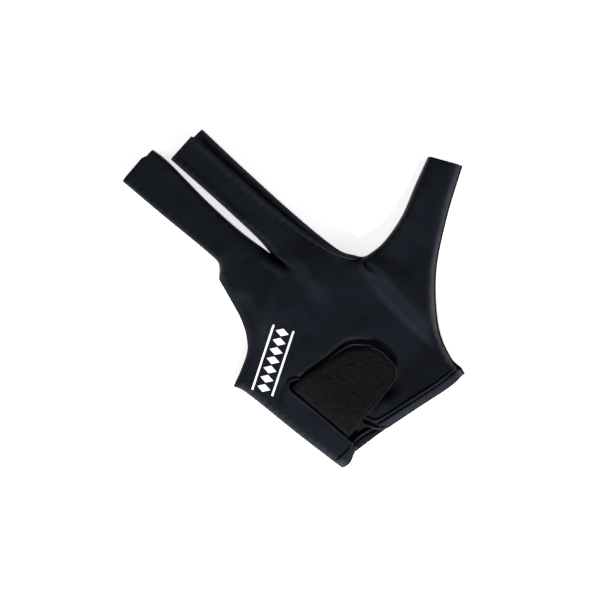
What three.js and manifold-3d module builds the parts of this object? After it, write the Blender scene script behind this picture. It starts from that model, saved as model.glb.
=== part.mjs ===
// A left-hand billiard glove that lies palm down. It has open sleeves for the thumb, the index finger
// and the middle finger, one wide opening for the ring and little fingers, and a wrist whose back is
// slit and closed by a tab.
// Units are millimetres. +Y runs along the finger sleeves, +X points to the thumb side, and +Z is up.
// The origin is at the centre of the bounding box, on the surface that the glove lies on.

import * as THREE from 'three';
import { mergeVertices } from 'three/addons/utils/BufferGeometryUtils.js';
import Module from 'manifold-3d';

const wasm = await Module();
wasm.setup();

// Cloth
const CLOTH = 1; // thickness of one layer
const GAP = 0.3; // clearance between two pieces that are sewn together
const HEM_PROUD = 0.5; // how far a turned hem stands above its panel
const HEM_WIDE = 5.8; // width of the wrist hem
const OVERLOCK = 0.6; // how far the palm's edge shows past the back's along the thumb, on X and on Y

// Heights above the surface that the glove lies on
const PALM_LIFT = 1.2; // rise of the palm's rim at a seam
const PALM_SHOULDER = 6; // width of the stretch over which the palm rises
const BACK_RIM = PALM_LIFT + CLOTH + GAP; // underside of the back's rim at a seam
const GUSSET_RIM = 5.2; // underside of the back's rim above the index gusset
const CROWN = 6.9; // underside of the back where it is full
const BACK_SHOULDER = 8; // width of the stretch over which the back rises

// Grids of the sheets, before they are cut to their outlines
const FINE_GRID = { x: 4.6, y: 6.4 };
const COARSE_GRID = { x: 7, y: 10 };
const SMALL_GRID = { x: 4.2, y: 5 };
const CURVE_STEP = 4; // length of one chord of a curved edge

// Outlines. A row is one point of the edge. Smooth rows lie on a curve between two corners. The edge
// that starts at a row is sewn to the next panel or open, and rim is the height of the back's
// underside there.
const corner = (x, y, edge, rim = BACK_RIM) => ({ x, y, edge, rim, smooth: false });
const smooth = (x, y, edge, rim = BACK_RIM) => ({ x, y, edge, rim, smooth: true });

const WRIST_EDGE = [
  corner(-80, -89.2, 'open'),
  corner(-74.5, -90.2, 'open'),
  corner(-69.5, -88.4, 'open'),
  smooth(-50, -92.3, 'open'),
  smooth(-30, -97.2, 'open'),
  smooth(-8, -103.1, 'open'),
];
const THUMB_OUTER_SIDE = [
  corner(3, -104.6, 'sewn'),
  smooth(4.6, -92, 'sewn'),
  smooth(13, -76, 'sewn'),
  smooth(33, -56.5, 'sewn'),
  smooth(58.8, -41, 'sewn'),
];
const THUMB_MOUTH = [corner(86.4, -28, 'open')];
const THUMB_INNER_SIDE = [
  corner(77.5, -10.8, 'sewn'),
  smooth(61, -16, 'sewn'),
  smooth(44, -21.7, 'sewn'),
  smooth(27, -23.8, 'sewn'),
  smooth(15, -21.8, 'sewn'),
];
const INDEX_OUTER_SIDE = [
  smooth(10.6, -16.5, 'sewn'),
  smooth(6.8, -6, 'sewn'),
  smooth(5.5, 22, 'sewn'),
  smooth(5.7, 60, 'sewn'),
];
const INDEX_MOUTH = [corner(6.5, 91, 'open')];
const MIDDLE_SLEEVE_AND_INDEX_INNER_SIDE = [
  corner(-17, 92.5, 'sewn'),
  smooth(-16.9, 60, 'sewn'),
  smooth(-17.4, 30, 'sewn'),
  corner(-19, 17, 'sewn'),
  smooth(-20.9, 38, 'sewn'),
  smooth(-20.9, 62, 'sewn'),
  smooth(-19, 92, 'sewn'),
  corner(-19.6, 103.4, 'open'),
  corner(-24.2, 103.4, 'open'),
  corner(-27, 104.6, 'open'),
  corner(-43.5, 104.3, 'sewn'),
  smooth(-42.6, 75, 'sewn'),
  smooth(-41.4, 45, 'sewn'),
  smooth(-42.2, 35, 'sewn'),
];
const RING_AND_LITTLE_OPENING = [
  corner(-48.3, 29.6, 'open'),
  smooth(-51.8, 19, 'open'),
  smooth(-57.2, 4.6, 'open'),
  smooth(-65.5, -6.8, 'open'),
  smooth(-77, -12.2, 'open'),
];
const LITTLE_SIDE = [
  corner(-86.4, -15, 'sewn'),
  smooth(-84.2, -24, 'sewn'),
  smooth(-82.4, -58, 'sewn'),
];
const PALM_OUTLINE = [
  ...WRIST_EDGE,
  ...THUMB_OUTER_SIDE,
  ...THUMB_MOUTH,
  ...THUMB_INNER_SIDE,
  ...INDEX_OUTER_SIDE,
  ...INDEX_MOUTH,
  ...MIDDLE_SLEEVE_AND_INDEX_INNER_SIDE,
  ...RING_AND_LITTLE_OPENING,
  ...LITTLE_SIDE,
];

// The back's edge is set in along the thumb, and beside the index sleeve it ends short of the gusset.
const setIn = (rows) => rows.map((row) => ({ ...row, x: row.x - OVERLOCK, y: row.y + OVERLOCK }));
const BACK_INDEX_SIDE = [
  corner(11.4, -20.6, 'sewn'),
  smooth(8.2, -14.6, 'sewn', GUSSET_RIM - 1.2),
  smooth(4.4, -5, 'sewn', GUSSET_RIM),
  smooth(1.4, 14, 'sewn', GUSSET_RIM),
  smooth(0.4, 36, 'sewn', GUSSET_RIM),
  smooth(0.2, 64, 'sewn', GUSSET_RIM),
];
const BACK_OUTLINE = [
  ...WRIST_EDGE,
  ...setIn(THUMB_OUTER_SIDE),
  ...setIn(THUMB_MOUTH),
  ...THUMB_INNER_SIDE,
  ...BACK_INDEX_SIDE,
  corner(0.3, 92.4, 'open', GUSSET_RIM),
  ...MIDDLE_SLEEVE_AND_INDEX_INNER_SIDE,
  ...RING_AND_LITTLE_OPENING,
  ...LITTLE_SIDE,
];
const GUSSET_UNDERLAP = 1.8; // how far the gusset reaches under the back's edge
const GUSSET_OUTLINE = [
  corner(9, -15.2, 'open'),
  smooth(6.8, -6, 'open'),
  smooth(5.4, 22, 'open'),
  smooth(5.6, 60, 'open'),
  corner(6.4, 91, 'open'),
  corner(0.4 - GUSSET_UNDERLAP, 91.6, 'open'),
  smooth(0.2 - GUSSET_UNDERLAP, 64, 'open'),
  smooth(0.4 - GUSSET_UNDERLAP, 36, 'open'),
  smooth(1.4 - GUSSET_UNDERLAP, 14, 'open'),
  smooth(4.4 - GUSSET_UNDERLAP, -5, 'open'),
];

// The slit in the back of the wrist, with its round end, and open past the wrist edge.
const PAST_THE_WRIST = -112; // any Y below the glove
const SLIT_OUTLINE = [
  corner(-65.9, PAST_THE_WRIST, 'open'),
  corner(-65.9, -84, 'open'),
  smooth(-66.2, -60, 'open'),
  smooth(-67.2, -43, 'open'),
  smooth(-66.6, -38.4, 'open'),
  smooth(-64.3, -36.4, 'open'),
  smooth(-61.4, -37.6, 'open'),
  smooth(-58.8, -40.4, 'open'),
  smooth(-57, -50, 'open'),
  corner(-54.3, -81, 'open'),
  corner(-53, -86, 'open'),
  corner(-47.6, -91.4, 'open'),
  corner(-47.6, PAST_THE_WRIST, 'open'),
];

// The closing tab: the outlines of its backing and of the pad on top of it.
const BACKING_OUTLINE = [
  corner(-71, -44, 'open'),
  corner(-67.4, -40, 'open'),
  smooth(-64, -38.9, 'open'),
  smooth(-52, -41.4, 'open'),
  smooth(-36, -43.6, 'open'),
  smooth(-27.5, -45, 'open'),
  smooth(-21.6, -51.5, 'open'),
  smooth(-18.6, -61, 'open'),
  smooth(-19.6, -73.5, 'open'),
  smooth(-24, -78.3, 'open'),
  smooth(-31, -78.8, 'open'),
  corner(-64.5, -80.6, 'open'),
  corner(-70, -80.6, 'open'),
];
const PAD_OUTLINE = [
  corner(-66.7, -39.6, 'open'),
  smooth(-51, -42, 'open'),
  smooth(-36, -46.2, 'open'),
  smooth(-26.5, -50.6, 'open'),
  smooth(-20.6, -56.4, 'open'),
  smooth(-18.9, -64, 'open'),
  smooth(-20, -73.2, 'open'),
  smooth(-24, -78.2, 'open'),
  smooth(-31, -78.7, 'open'),
  corner(-65.1, -80.8, 'open'),
];
const PAD_THICK = 1.5;
const TAB_BASE_HIGH = 5.5; // underside of the tab where it leaves the slit
const TAB_LAID_HIGH = 8.2; // underside of the tab where it lies on the back
const TAB_CLIMB = { from: -68, to: -48 }; // X over which it climbs
const TAB_CURL = { from: -36, over: 17, high: 1.1 }; // its round end curls up

// Soft folds of the back. Each runs from its start past its middle to its end; the height is its
// crest above the plain surface, or its depth where negative.
const FOLDS = [
  { name: 'thumb_ridge', x0: 12, y0: -27, xm: 14, ym: -48, x1: 12, y1: -74, wide: 5.5, high: 1.0 },
  { name: 'thumb_hollow', x0: 1, y0: -32, xm: -2, ym: -50, x1: -1, y1: -78, wide: 6, high: -0.7 },
  { name: 'thumb_crotch_dent', x0: 17, y0: -27, xm: 20, ym: -31, x1: 22, y1: -38, wide: 3.8, high: -0.9 },
  { name: 'finger_crotch_pleat', x0: -19.2, y0: 19, xm: -18.8, ym: 12, x1: -17.6, y1: 5, wide: 1.7, high: -2.6 },
  { name: 'knuckle_ridge', x0: -14, y0: 2, xm: -7, ym: -12, x1: -30, y1: -30, wide: 4.5, high: 0.8 },
  { name: 'knuckle_hollow', x0: -20, y0: 0, xm: -17, ym: -8, x1: -34, y1: -18, wide: 4, high: -0.5 },
  { name: 'ring_ridge', x0: -41, y0: 22, xm: -41, ym: 2, x1: -60, y1: -9, wide: 3.6, high: 0.7 },
  { name: 'ring_hollow', x0: -35, y0: 12, xm: -37, ym: -2, x1: -56, y1: -14, wide: 3.4, high: -0.6 },
  { name: 'slit_end_crease', x0: -77, y0: -42, xm: -70, ym: -34, x1: -58, y1: -34, wide: 2, high: -0.7 },
];
const FOLD_SAMPLES = 12;
const FOLD_TAPER = 9; // length over which a fold fades at each end
// The back sinks beside the slit's thumb side, which runs from its start to its end.
const SLIT_DIP = { x0: -58.8, y0: -40.4, x1: -54.3, y1: -81, wide: 8, high: 1.8, left: -69, right: -61 };

const clamp = (value) => Math.min(1, Math.max(0, value));
const ease = (t) => clamp(t) ** 2 * (3 - 2 * clamp(t));
const shoulder = (t) => Math.sin((clamp(t) * Math.PI) / 2);

// The edge as a closed list of points, with the kind and the rim height carried along.
function edgePoints(rows) {
  const points = [];
  const first = rows.findIndex((row) => !row.smooth);
  const around = [...rows.slice(first), ...rows.slice(0, first), rows[first]];
  let start = 0;
  for (let i = 1; i < around.length; i++) {
    if (around[i].smooth) continue;
    points.push(...runPoints(around.slice(start, i + 1)));
    start = i;
  }
  return points;
}

// The points of one run from a corner up to, and without, the next corner.
function runPoints(run) {
  if (run.length === 2) return [run[0]];
  const curve = new THREE.SplineCurve(run.map((row) => new THREE.Vector2(row.x, row.y)));
  const count = Math.max(2, Math.round(curve.getLength() / CURVE_STEP));
  return Array.from({ length: count }, (_, i) => {
    const t = curve.getUtoTmapping(i / count);
    const along = t * (run.length - 1);
    const row = run[Math.floor(along)];
    const next = run[Math.min(run.length - 1, Math.floor(along) + 1)];
    const { x, y } = curve.getPoint(t);
    return { x, y, edge: row.edge, rim: THREE.MathUtils.lerp(row.rim, next.rim, along % 1) };
  });
}

// Distance from a point to a segment, and the place along it, from 0 to 1.
function toSegment(x, y, a, b) {
  const along = clamp(((x - a.x) * (b.x - a.x) + (y - a.y) * (b.y - a.y)) / ((b.x - a.x) ** 2 + (b.y - a.y) ** 2));
  const distance = Math.hypot(x - a.x - along * (b.x - a.x), y - a.y - along * (b.y - a.y));
  return { distance, along };
}

// The nearest sewn edge: its distance and the rim height there.
function nearestSeam(points) {
  const seams = points.map((a, i) => [a, points[(i + 1) % points.length]]).filter(([a]) => a.edge === 'sewn');
  return (x, y) => {
    let best = { distance: Infinity };
    for (const [a, b] of seams) {
      const { distance, along } = toSegment(x, y, a, b);
      if (distance < best.distance) best = { distance, rim: THREE.MathUtils.lerp(a.rim, b.rim, along) };
    }
    return best;
  };
}

const backEdge = edgePoints(BACK_OUTLINE);
const palmEdge = edgePoints(PALM_OUTLINE);
const backSeam = nearestSeam(backEdge);
const palmSeam = nearestSeam(palmEdge);

const foldLines = FOLDS.map((fold) => {
  const bend = new THREE.QuadraticBezierCurve(
    new THREE.Vector2(fold.x0, fold.y0),
    new THREE.Vector2(fold.xm, fold.ym),
    new THREE.Vector2(fold.x1, fold.y1),
  );
  return { ...fold, line: bend.getPoints(FOLD_SAMPLES), long: bend.getLength() };
});

// The height that all folds together add at a point.
function foldHeight(x, y) {
  return foldLines.reduce((sum, { line, wide, high, long }) => {
    let best = { distance: Infinity };
    for (let i = 0; i < FOLD_SAMPLES; i++) {
      const { distance, along } = toSegment(x, y, line[i], line[i + 1]);
      if (distance < best.distance) best = { distance, share: (i + along) / FOLD_SAMPLES };
    }
    const toEnd = Math.min(best.share, 1 - best.share) * long;
    return sum + high * Math.exp(-((best.distance / wide) ** 2)) * (0.4 + 0.6 * ease(toEnd / FOLD_TAPER));
  }, 0);
}

// How far the back sinks beside the slit, where the tab comes out over it.
function slitDip(x, y) {
  const { x0, y0, x1, y1, wide, high, left, right } = SLIT_DIP;
  const { distance } = toSegment(x, y, { x: x0, y: y0 }, { x: x1, y: y1 });
  return high * Math.exp(-((distance / wide) ** 2)) * ease((x - left) / (right - left));
}

// Undersides of the sheets
function backHeight(x, y) {
  const { distance, rim } = backSeam(x, y);
  const rise = shoulder(distance / BACK_SHOULDER);
  return rim + (CROWN - rim + foldHeight(x, y) - slitDip(x, y)) * rise;
}
function palmHeight(x, y) {
  return PALM_LIFT * (1 - shoulder(palmSeam(x, y).distance / PALM_SHOULDER));
}
function gussetHeight(x, y) {
  const inward = clamp(palmSeam(x, y).distance / 6);
  return BACK_RIM + (GUSSET_RIM - BACK_RIM - CLOTH - GAP) * inward * clamp((y + 15) / 12);
}
function tabHeight(x) {
  const climbed = ease((x - TAB_CLIMB.from) / (TAB_CLIMB.to - TAB_CLIMB.from));
  const curl = clamp((x - TAB_CURL.from) / TAB_CURL.over) ** 2;
  return TAB_BASE_HIGH + (TAB_LAID_HIGH - TAB_BASE_HIGH) * climbed + TAB_CURL.high * curl;
}

// Solids. Each triangle of a sheet is a face of its own, so that cutting keeps the sheet's grid.
function solidOf(geometry, keepGrid = false) {
  geometry.deleteAttribute('normal');
  geometry.deleteAttribute('uv');
  const merged = mergeVertices(geometry);
  const triVerts = Uint32Array.from(merged.index.array);
  const mesh = { numProp: 3, vertProperties: merged.attributes.position.array, triVerts };
  if (keepGrid) mesh.faceID = Uint32Array.from({ length: triVerts.length / 3 }, (_, i) => i);
  return new wasm.Manifold(new wasm.Mesh(mesh));
}

const SHEET = 1; // thickness of a flat sheet before it is shaped
function prism(points) {
  const shape = new THREE.Shape(points.map(({ x, y }) => new THREE.Vector2(x, y)));
  return solidOf(new THREE.ExtrudeGeometry(shape, { depth: 3 * SHEET, bevelEnabled: false }).translate(0, 0, -SHEET));
}

// A flat sheet with the given outline, on a grid.
function flatSheet(points, grid) {
  const box = new THREE.Box2().setFromPoints(points.map(({ x, y }) => new THREE.Vector2(x, y))).expandByScalar(1);
  const size = box.getSize(new THREE.Vector2());
  const centre = box.getCenter(new THREE.Vector2());
  const cells = [Math.ceil(size.x / grid.x), Math.ceil(size.y / grid.y)];
  const slab = new THREE.BoxGeometry(size.x, size.y, SHEET, ...cells, 1).translate(centre.x, centre.y, SHEET / 2);
  return solidOf(slab, true).intersect(prism(points));
}

// Bends a flat sheet to shape: under gives the height of its underside, and thick its thickness.
function shaped(sheet, under, thick = () => CLOTH) {
  const { vertProperties, triVerts } = sheet.getMesh();
  const position = new THREE.BufferAttribute(Float32Array.from(vertProperties), 3);
  for (let i = 0; i < position.count; i++) {
    const x = position.getX(i);
    const y = position.getY(i);
    position.setZ(i, under(x, y) + (position.getZ(i) > SHEET / 2 ? thick(x, y) : 0));
  }
  const geometry = new THREE.BufferGeometry().setAttribute('position', position);
  geometry.setIndex(new THREE.BufferAttribute(Uint32Array.from(triVerts), 1));
  geometry.computeVertexNormals();
  return geometry;
}

// Everything on the wrist side of the hem's inner line, moved up by a distance.
function belowHemLine(up) {
  const line = edgePoints([...WRIST_EDGE, corner(3, -104.6, 'open'), corner(40, -112, 'open')])
    .filter(({ y }) => y > PAST_THE_WRIST)
    .filter(({ x }) => x < -72 || x > -68);
  return prism([
    { x: -95, y: line[0].y + HEM_WIDE + up },
    { x: -95, y: PAST_THE_WRIST - 1 },
    { x: 40, y: PAST_THE_WRIST - 1 },
    ...line.reverse().map(({ x, y }) => ({ x, y: y + HEM_WIDE + up })),
  ]);
}

const COLOURS = { lycra: 0x14171f, mesh: 0x15131c, loop: 0x1b1a19 };
function material(name) {
  const roughness = { lycra: 0.62, mesh: 0.8, loop: 0.95 }[name];
  return new THREE.MeshStandardMaterial({ name, color: COLOURS[name], roughness, metalness: 0 });
}

const glove = new THREE.Group();
function add(name, geometry, cloth) {
  const mesh = new THREE.Mesh(geometry, material(cloth));
  mesh.name = name;
  glove.add(mesh);
}

// Panels
const hemZone = belowHemLine(0);
const pastHem = belowHemLine(GAP);
const backSheet = flatSheet(backEdge, FINE_GRID).subtract(prism(edgePoints(SLIT_OUTLINE)));
const palmSheet = flatSheet(palmEdge, COARSE_GRID);
add('back_panel', shaped(backSheet.subtract(pastHem), backHeight), 'lycra');
add('palm_panel', shaped(palmSheet.subtract(pastHem), palmHeight), 'mesh');
add('index_gusset', shaped(flatSheet(edgePoints(GUSSET_OUTLINE), SMALL_GRID), gussetHeight), 'mesh');

// Wrist hems: the palm's, and the back's on each side of the slit.
const palmHemThick = (x, y) => CLOTH + HEM_PROUD * shoulder(palmSeam(x, y).distance / PALM_SHOULDER);
add('wrist_hem_palm', shaped(palmSheet.intersect(hemZone), palmHeight, palmHemThick), 'lycra');
const backHemThick = () => CLOTH + HEM_PROUD;
const backHems = backSheet.intersect(hemZone).decompose();
const middleX = (piece) => (piece.boundingBox().min[0] + piece.boundingBox().max[0]) / 2;
const [littleHem, thumbHem] = backHems.sort((a, b) => middleX(a) - middleX(b));
add('wrist_hem_little_side', shaped(littleHem, backHeight, backHemThick), 'lycra');
add('wrist_hem_thumb_side', shaped(thumbHem, backHeight, backHemThick), 'lycra');

// The closing tab
add('tab_backing', shaped(flatSheet(edgePoints(BACKING_OUTLINE), SMALL_GRID), tabHeight), 'lycra');
const padHeight = (x) => tabHeight(x) + CLOTH + GAP;
add('tab_pad', shaped(flatSheet(edgePoints(PAD_OUTLINE), SMALL_GRID), padHeight, () => PAD_THICK), 'loop');

export default glove;
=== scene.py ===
# A left-hand billiard glove lying palm down on a pale floor, seen from straight above.
# Lengths are in millimetres until a mesh is made, where MM turns them into metres. +Y runs along the
# finger sleeves, +X points to the thumb side, and +Z is up.

import math
from collections import namedtuple

import bpy
import numpy as np
from mathutils import Matrix, Vector, noise
from mathutils.geometry import delaunay_2d_cdt


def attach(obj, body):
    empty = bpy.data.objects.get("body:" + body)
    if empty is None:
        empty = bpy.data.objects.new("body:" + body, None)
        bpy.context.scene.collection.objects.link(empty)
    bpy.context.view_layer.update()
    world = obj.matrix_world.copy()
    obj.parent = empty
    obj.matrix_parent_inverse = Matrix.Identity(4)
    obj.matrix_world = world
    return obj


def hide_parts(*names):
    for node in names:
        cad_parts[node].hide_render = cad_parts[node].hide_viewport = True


MM = 0.001
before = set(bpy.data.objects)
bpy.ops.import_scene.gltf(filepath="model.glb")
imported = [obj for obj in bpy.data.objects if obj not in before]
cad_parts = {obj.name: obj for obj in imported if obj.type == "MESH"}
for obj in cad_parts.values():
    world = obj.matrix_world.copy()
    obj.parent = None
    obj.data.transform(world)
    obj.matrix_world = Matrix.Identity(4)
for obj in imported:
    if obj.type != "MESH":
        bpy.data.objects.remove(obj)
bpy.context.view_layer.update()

# Camera: the photograph is taken from straight above, with the fingers turned to its upper left.
VIEW_WIDE = 327.6  # width of the surface that the picture covers
VIEW_CENTRE = (-27.2, -10.8)
VIEW_TURN = math.radians(-48.2)
CAMERA_HIGH = 1000
SENSOR = 36

camera = bpy.data.objects.new("camera", bpy.data.cameras.new("camera"))
bpy.context.scene.collection.objects.link(camera)
camera.data.sensor_width = SENSOR
camera.data.lens = SENSOR * CAMERA_HIGH / VIEW_WIDE
camera.matrix_world = (
    Matrix.Translation(Vector((*VIEW_CENTRE, CAMERA_HIGH)) * MM) @ Matrix.Rotation(VIEW_TURN, 4, "Z")
)
bpy.context.scene.camera = camera

# Cloth
CLOTH = 0.9  # thickness of one layer
PALM_LIFT = 1.2  # rise of the palm's rim at a seam
PALM_SHOULDER = 6  # width of the stretch over which the palm rises
BACK_RIM = 2.5  # underside of the back's rim at a seam
GUSSET_RIM = 5.2  # underside of the back's rim above the index gusset
CROWN = 6.2  # underside of the back where it is full
SLEEVE_CROWN = 6.0  # and in the sleeves
BACK_SHOULDER = 6  # width of the stretch over which the back rises
SEAM_SHARE = 0.92  # share of the whole rise that is steep, right beside a seam
SEAM_ROLL = 1.4  # width of that steep rise
FINGER_ROLL = 0.4  # its width in the two finger sleeves and at the crotch of the thumb
STRIP_NARROWER = 0.5  # how much narrower it is in the strip beside the slit
FINGERS_FROM = (20, 25)  # Y where the finger sleeves begin, and the width of the change
THUMB_FROM = (35, 25)  # the same along X for the thumb sleeve
STRIP_FROM = (-66, 4)  # and for the strip, towards the little finger's side
INDEX_EDGE_RISE = 0.9  # how much the back's edge stands up beside the gusset
INDEX_EDGE_WIDE = 2.4
FREE_DROOP = 1.8  # how far the back sags at its free edge
FREE_DROOP_WIDE = 3.6
PUCKER_HIGH = 0.12  # puckers beside a seam
PUCKER_PITCH = 4.6
GUSSET_FULL = 0.9  # how far the gusset bulges
HEM_WIDE = 5.8  # width of the wrist hem
HEM_THICK = 1.6
PALM_HEM_THICK = 1.4
LITTLE_HEM_FALL = (2.6, 1.3)  # how far the hem falls at its edge, and the power of its curve
THUMB_HEM_FALL = (1.6, 2)
MESH_STEP = 1.15  # distance between the points of a sheet
ROUNDED = 0.8  # how far in from a cut or turned edge the cloth rounds off
RING_DEPTHS = (0.12, 0.42, 1)  # where rings of points lie in that stretch, as shares of it

# Outlines. A row is one point of the edge. Smooth rows lie on a curve between two corners. The edge
# that starts at a row is sewn to the next panel or open, and rim is the height of the back there.
Row = namedtuple("Row", "x y edge rim smooth")


def corner(x, y, edge="open", rim=BACK_RIM):
    return Row(x, y, edge, rim, False)


def smooth(x, y, edge="open", rim=BACK_RIM):
    return Row(x, y, edge, rim, True)


WRIST_EDGE = [
    corner(-80, -89.2),
    smooth(-77.2, -90.0),
    smooth(-74.2, -90.1),
    corner(-69.5, -88.4),
    smooth(-50, -92.3),
    smooth(-30, -97.2),
    smooth(-8, -103.1),
]
THUMB_OUTER_SIDE = [
    corner(3, -104.6, "sewn"),
    smooth(4.6, -92, "sewn"),
    smooth(13, -76, "sewn"),
    smooth(33, -56.5, "sewn"),
    smooth(58.8, -41, "sewn"),
]
THUMB_MOUTH = [corner(86.4, -28)]
THUMB_INNER_SIDE = [
    corner(77.5, -10.8, "sewn"),
    smooth(61, -16, "sewn"),
    smooth(44, -21.7, "sewn"),
    smooth(27, -23.8, "sewn"),
    smooth(15, -21.8, "sewn"),
]
INDEX_OUTER_SIDE = [
    smooth(10.6, -16.5, "sewn"),
    smooth(6.8, -6, "sewn"),
    smooth(5.5, 22, "sewn"),
    smooth(5.7, 60, "sewn"),
]
INDEX_MOUTH = [corner(6.5, 91)]
MIDDLE_SLEEVE_AND_INDEX_INNER_SIDE = [
    corner(-17, 92.5, "sewn"),
    smooth(-16.9, 60, "sewn"),
    smooth(-17.4, 30, "sewn"),
    corner(-19, 17, "sewn"),
    smooth(-20.9, 38, "sewn"),
    smooth(-20.9, 62, "sewn"),
    smooth(-19, 92, "sewn"),
    corner(-19.6, 103.4),
    corner(-24.2, 103.4),
    corner(-27, 104.6),
    corner(-43.5, 104.3, "sewn"),
    smooth(-42.6, 75, "sewn"),
    smooth(-41.4, 45, "sewn"),
    smooth(-42.2, 35, "sewn"),
]
RING_AND_LITTLE_OPENING = [
    corner(-48.3, 29.6, "free"),
    smooth(-51.8, 19, "free"),
    smooth(-57.2, 4.6, "free"),
    smooth(-65.5, -6.8, "free"),
    smooth(-77, -12.2, "free"),
]
LITTLE_SIDE = [
    corner(-86.4, -15, "sewn"),
    smooth(-84.2, -24, "sewn"),
    smooth(-82.4, -58, "sewn"),
]
FINGERS = MIDDLE_SLEEVE_AND_INDEX_INNER_SIDE + RING_AND_LITTLE_OPENING + LITTLE_SIDE
THUMB_SLEEVE = THUMB_OUTER_SIDE + THUMB_MOUTH + THUMB_INNER_SIDE
PALM_ROWS = WRIST_EDGE + THUMB_SLEEVE + INDEX_OUTER_SIDE + INDEX_MOUTH + FINGERS

# The back's edge is set in along the thumb, and beside the index sleeve it ends short of the gusset.
OVERLOCK = 0.6


def set_in(rows):
    return [row._replace(x=row.x - OVERLOCK, y=row.y + OVERLOCK) for row in rows]


BACK_THUMB_AND_INDEX = set_in(THUMB_OUTER_SIDE) + set_in(THUMB_MOUTH) + THUMB_INNER_SIDE + [
    corner(11.2, -20.6, "sewn", BACK_RIM + 1.5),
    smooth(7.7, -14.9, "sewn", GUSSET_RIM - 0.4),
    smooth(3.7, -5, "sewn", GUSSET_RIM),
    smooth(0.8, 14, "sewn", GUSSET_RIM),
    smooth(-0.2, 36, "sewn", GUSSET_RIM),
    smooth(-0.4, 64, "sewn", GUSSET_RIM),
    corner(-0.2, 92.4, "open", GUSSET_RIM),
]
BACK_ROWS = WRIST_EDGE + BACK_THUMB_AND_INDEX + FINGERS
GUSSET_ROWS = [
    corner(9, -15.2),
    smooth(6.8, -6),
    smooth(5.4, 22),
    smooth(5.6, 60),
    corner(6.4, 91),
    corner(-2, 91.6),
    smooth(-2.2, 64),
    smooth(-2, 36),
    smooth(-1, 14),
    smooth(2, -5),
]

# The slit in the back of the wrist, from the little finger's side round its end to the thumb's side.
SLIT_EDGE = [
    corner(-65.9, -84),
    smooth(-66.2, -60),
    smooth(-67.2, -43),
    smooth(-66.6, -38.4),
    smooth(-64.3, -36.4),
    smooth(-61.4, -37.6),
    smooth(-58.8, -40.4),
    smooth(-57, -50),
    corner(-54.3, -81),
]
# The line where the back meets its wrist hem, on the two sides of the slit, and the hems' outer ends.
LITTLE_HEM_LINE = [corner(-80.4, -85.2), smooth(-74.5, -86.6), smooth(-69, -86.8)]
THUMB_HEM_LINE = [corner(-52.4, -88), smooth(-46.6, -89.6), smooth(-30, -94.2), smooth(-10, -99.5)]
THUMB_HEM_END = corner(3.7, -101.3, "sewn")
PALM_HEM_LINE = [
    corner(-80.3, -86.2),
    smooth(-66, -87),
    smooth(-50, -90.8),
    smooth(-30, -94.2),
    smooth(-10, -99.5),
]
BACK_CUT = (
    LITTLE_HEM_LINE + SLIT_EDGE + THUMB_HEM_LINE + [THUMB_HEM_END] + BACK_THUMB_AND_INDEX[1:] + FINGERS
)
PALM_CUT = PALM_HEM_LINE + [corner(3.9, -101.5, "sewn")] + PALM_ROWS[len(WRIST_EDGE) + 1:]
LITTLE_HEM_CUT = WRIST_EDGE[:4] + [
    corner(-66.1, -87.4),
    corner(-66.4, -84.6),
    smooth(-69, -85.3),
    smooth(-74.5, -85),
    corner(-80.4, -83.6),
]
THUMB_HEM_CUT = [
    corner(-51.6, -87.6),
    corner(-47.6, -92.7),
    smooth(-30, -97.2),
    smooth(-8, -103.1),
    corner(2.4, -104),
    corner(3.6, -99.6),
    smooth(-10, -97.6),
    smooth(-30, -92.3),
    smooth(-46.5, -87.7),
]
PALM_HEM_CUT = WRIST_EDGE + [
    corner(3, -104.6),
    corner(4.0, -100.4),
    smooth(-10, -98.1),
    smooth(-30, -92.7),
    smooth(-50, -89.3),
    smooth(-60, -86.2),
    smooth(-66, -85.3),
    corner(-80.4, -84.4),
]

# The closing tab
BACKING_CUT = [
    corner(-71, -44),
    corner(-67.4, -40),
    smooth(-64, -39.4),
    smooth(-52, -42),
    smooth(-38, -44.4),
    smooth(-30, -45.9),
    smooth(-25.6, -48.4),
    smooth(-22, -52.4),
    smooth(-20.2, -56),
    smooth(-19.9, -60),
    smooth(-19.8, -70),
    smooth(-21.8, -74.8),
    smooth(-25.6, -76.9),
    smooth(-31, -77.6),
    corner(-64.5, -79.6),
    corner(-70, -79.6),
]
PAD_CUT = [
    corner(-66.6, -39.5),
    smooth(-60, -40),
    smooth(-51, -41.7),
    smooth(-43, -43.8),
    smooth(-33, -47.2),
    smooth(-28, -49.9),
    smooth(-24, -52.9),
    smooth(-21, -56.4),
    smooth(-19.4, -60),
    smooth(-19, -65),
    smooth(-19.6, -72),
    smooth(-21.4, -75.6),
    smooth(-24.8, -77.5),
    smooth(-31, -78.3),
    smooth(-45, -79.1),
    corner(-65, -80.3),
]
PAD_THICK = 1.4
PAD_CLEAR = 0.3  # gap between the tab and its pad
PAD_STEP = 0.6  # distance between the points of the pad
TAB_BASE_HIGH = 4.9  # underside of the tab where it comes out of the slit
TAB_LAID_HIGH = 7.2  # and where it lies on the back
TAB_CLIMB = (-68, -54)  # X over which it climbs from one to the other
TAB_CLEAR = 0.15  # least gap between the tab and the back under it
TAB_PRESS_FROM = -62  # X from which the tab lies on the back and presses it down
TAB_PRESS_FADE = 4  # how far that reaches beyond the tab's edge
TAB_CURL = (-38, 19, -0.3)  # X where the curl starts, its length and its height

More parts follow.
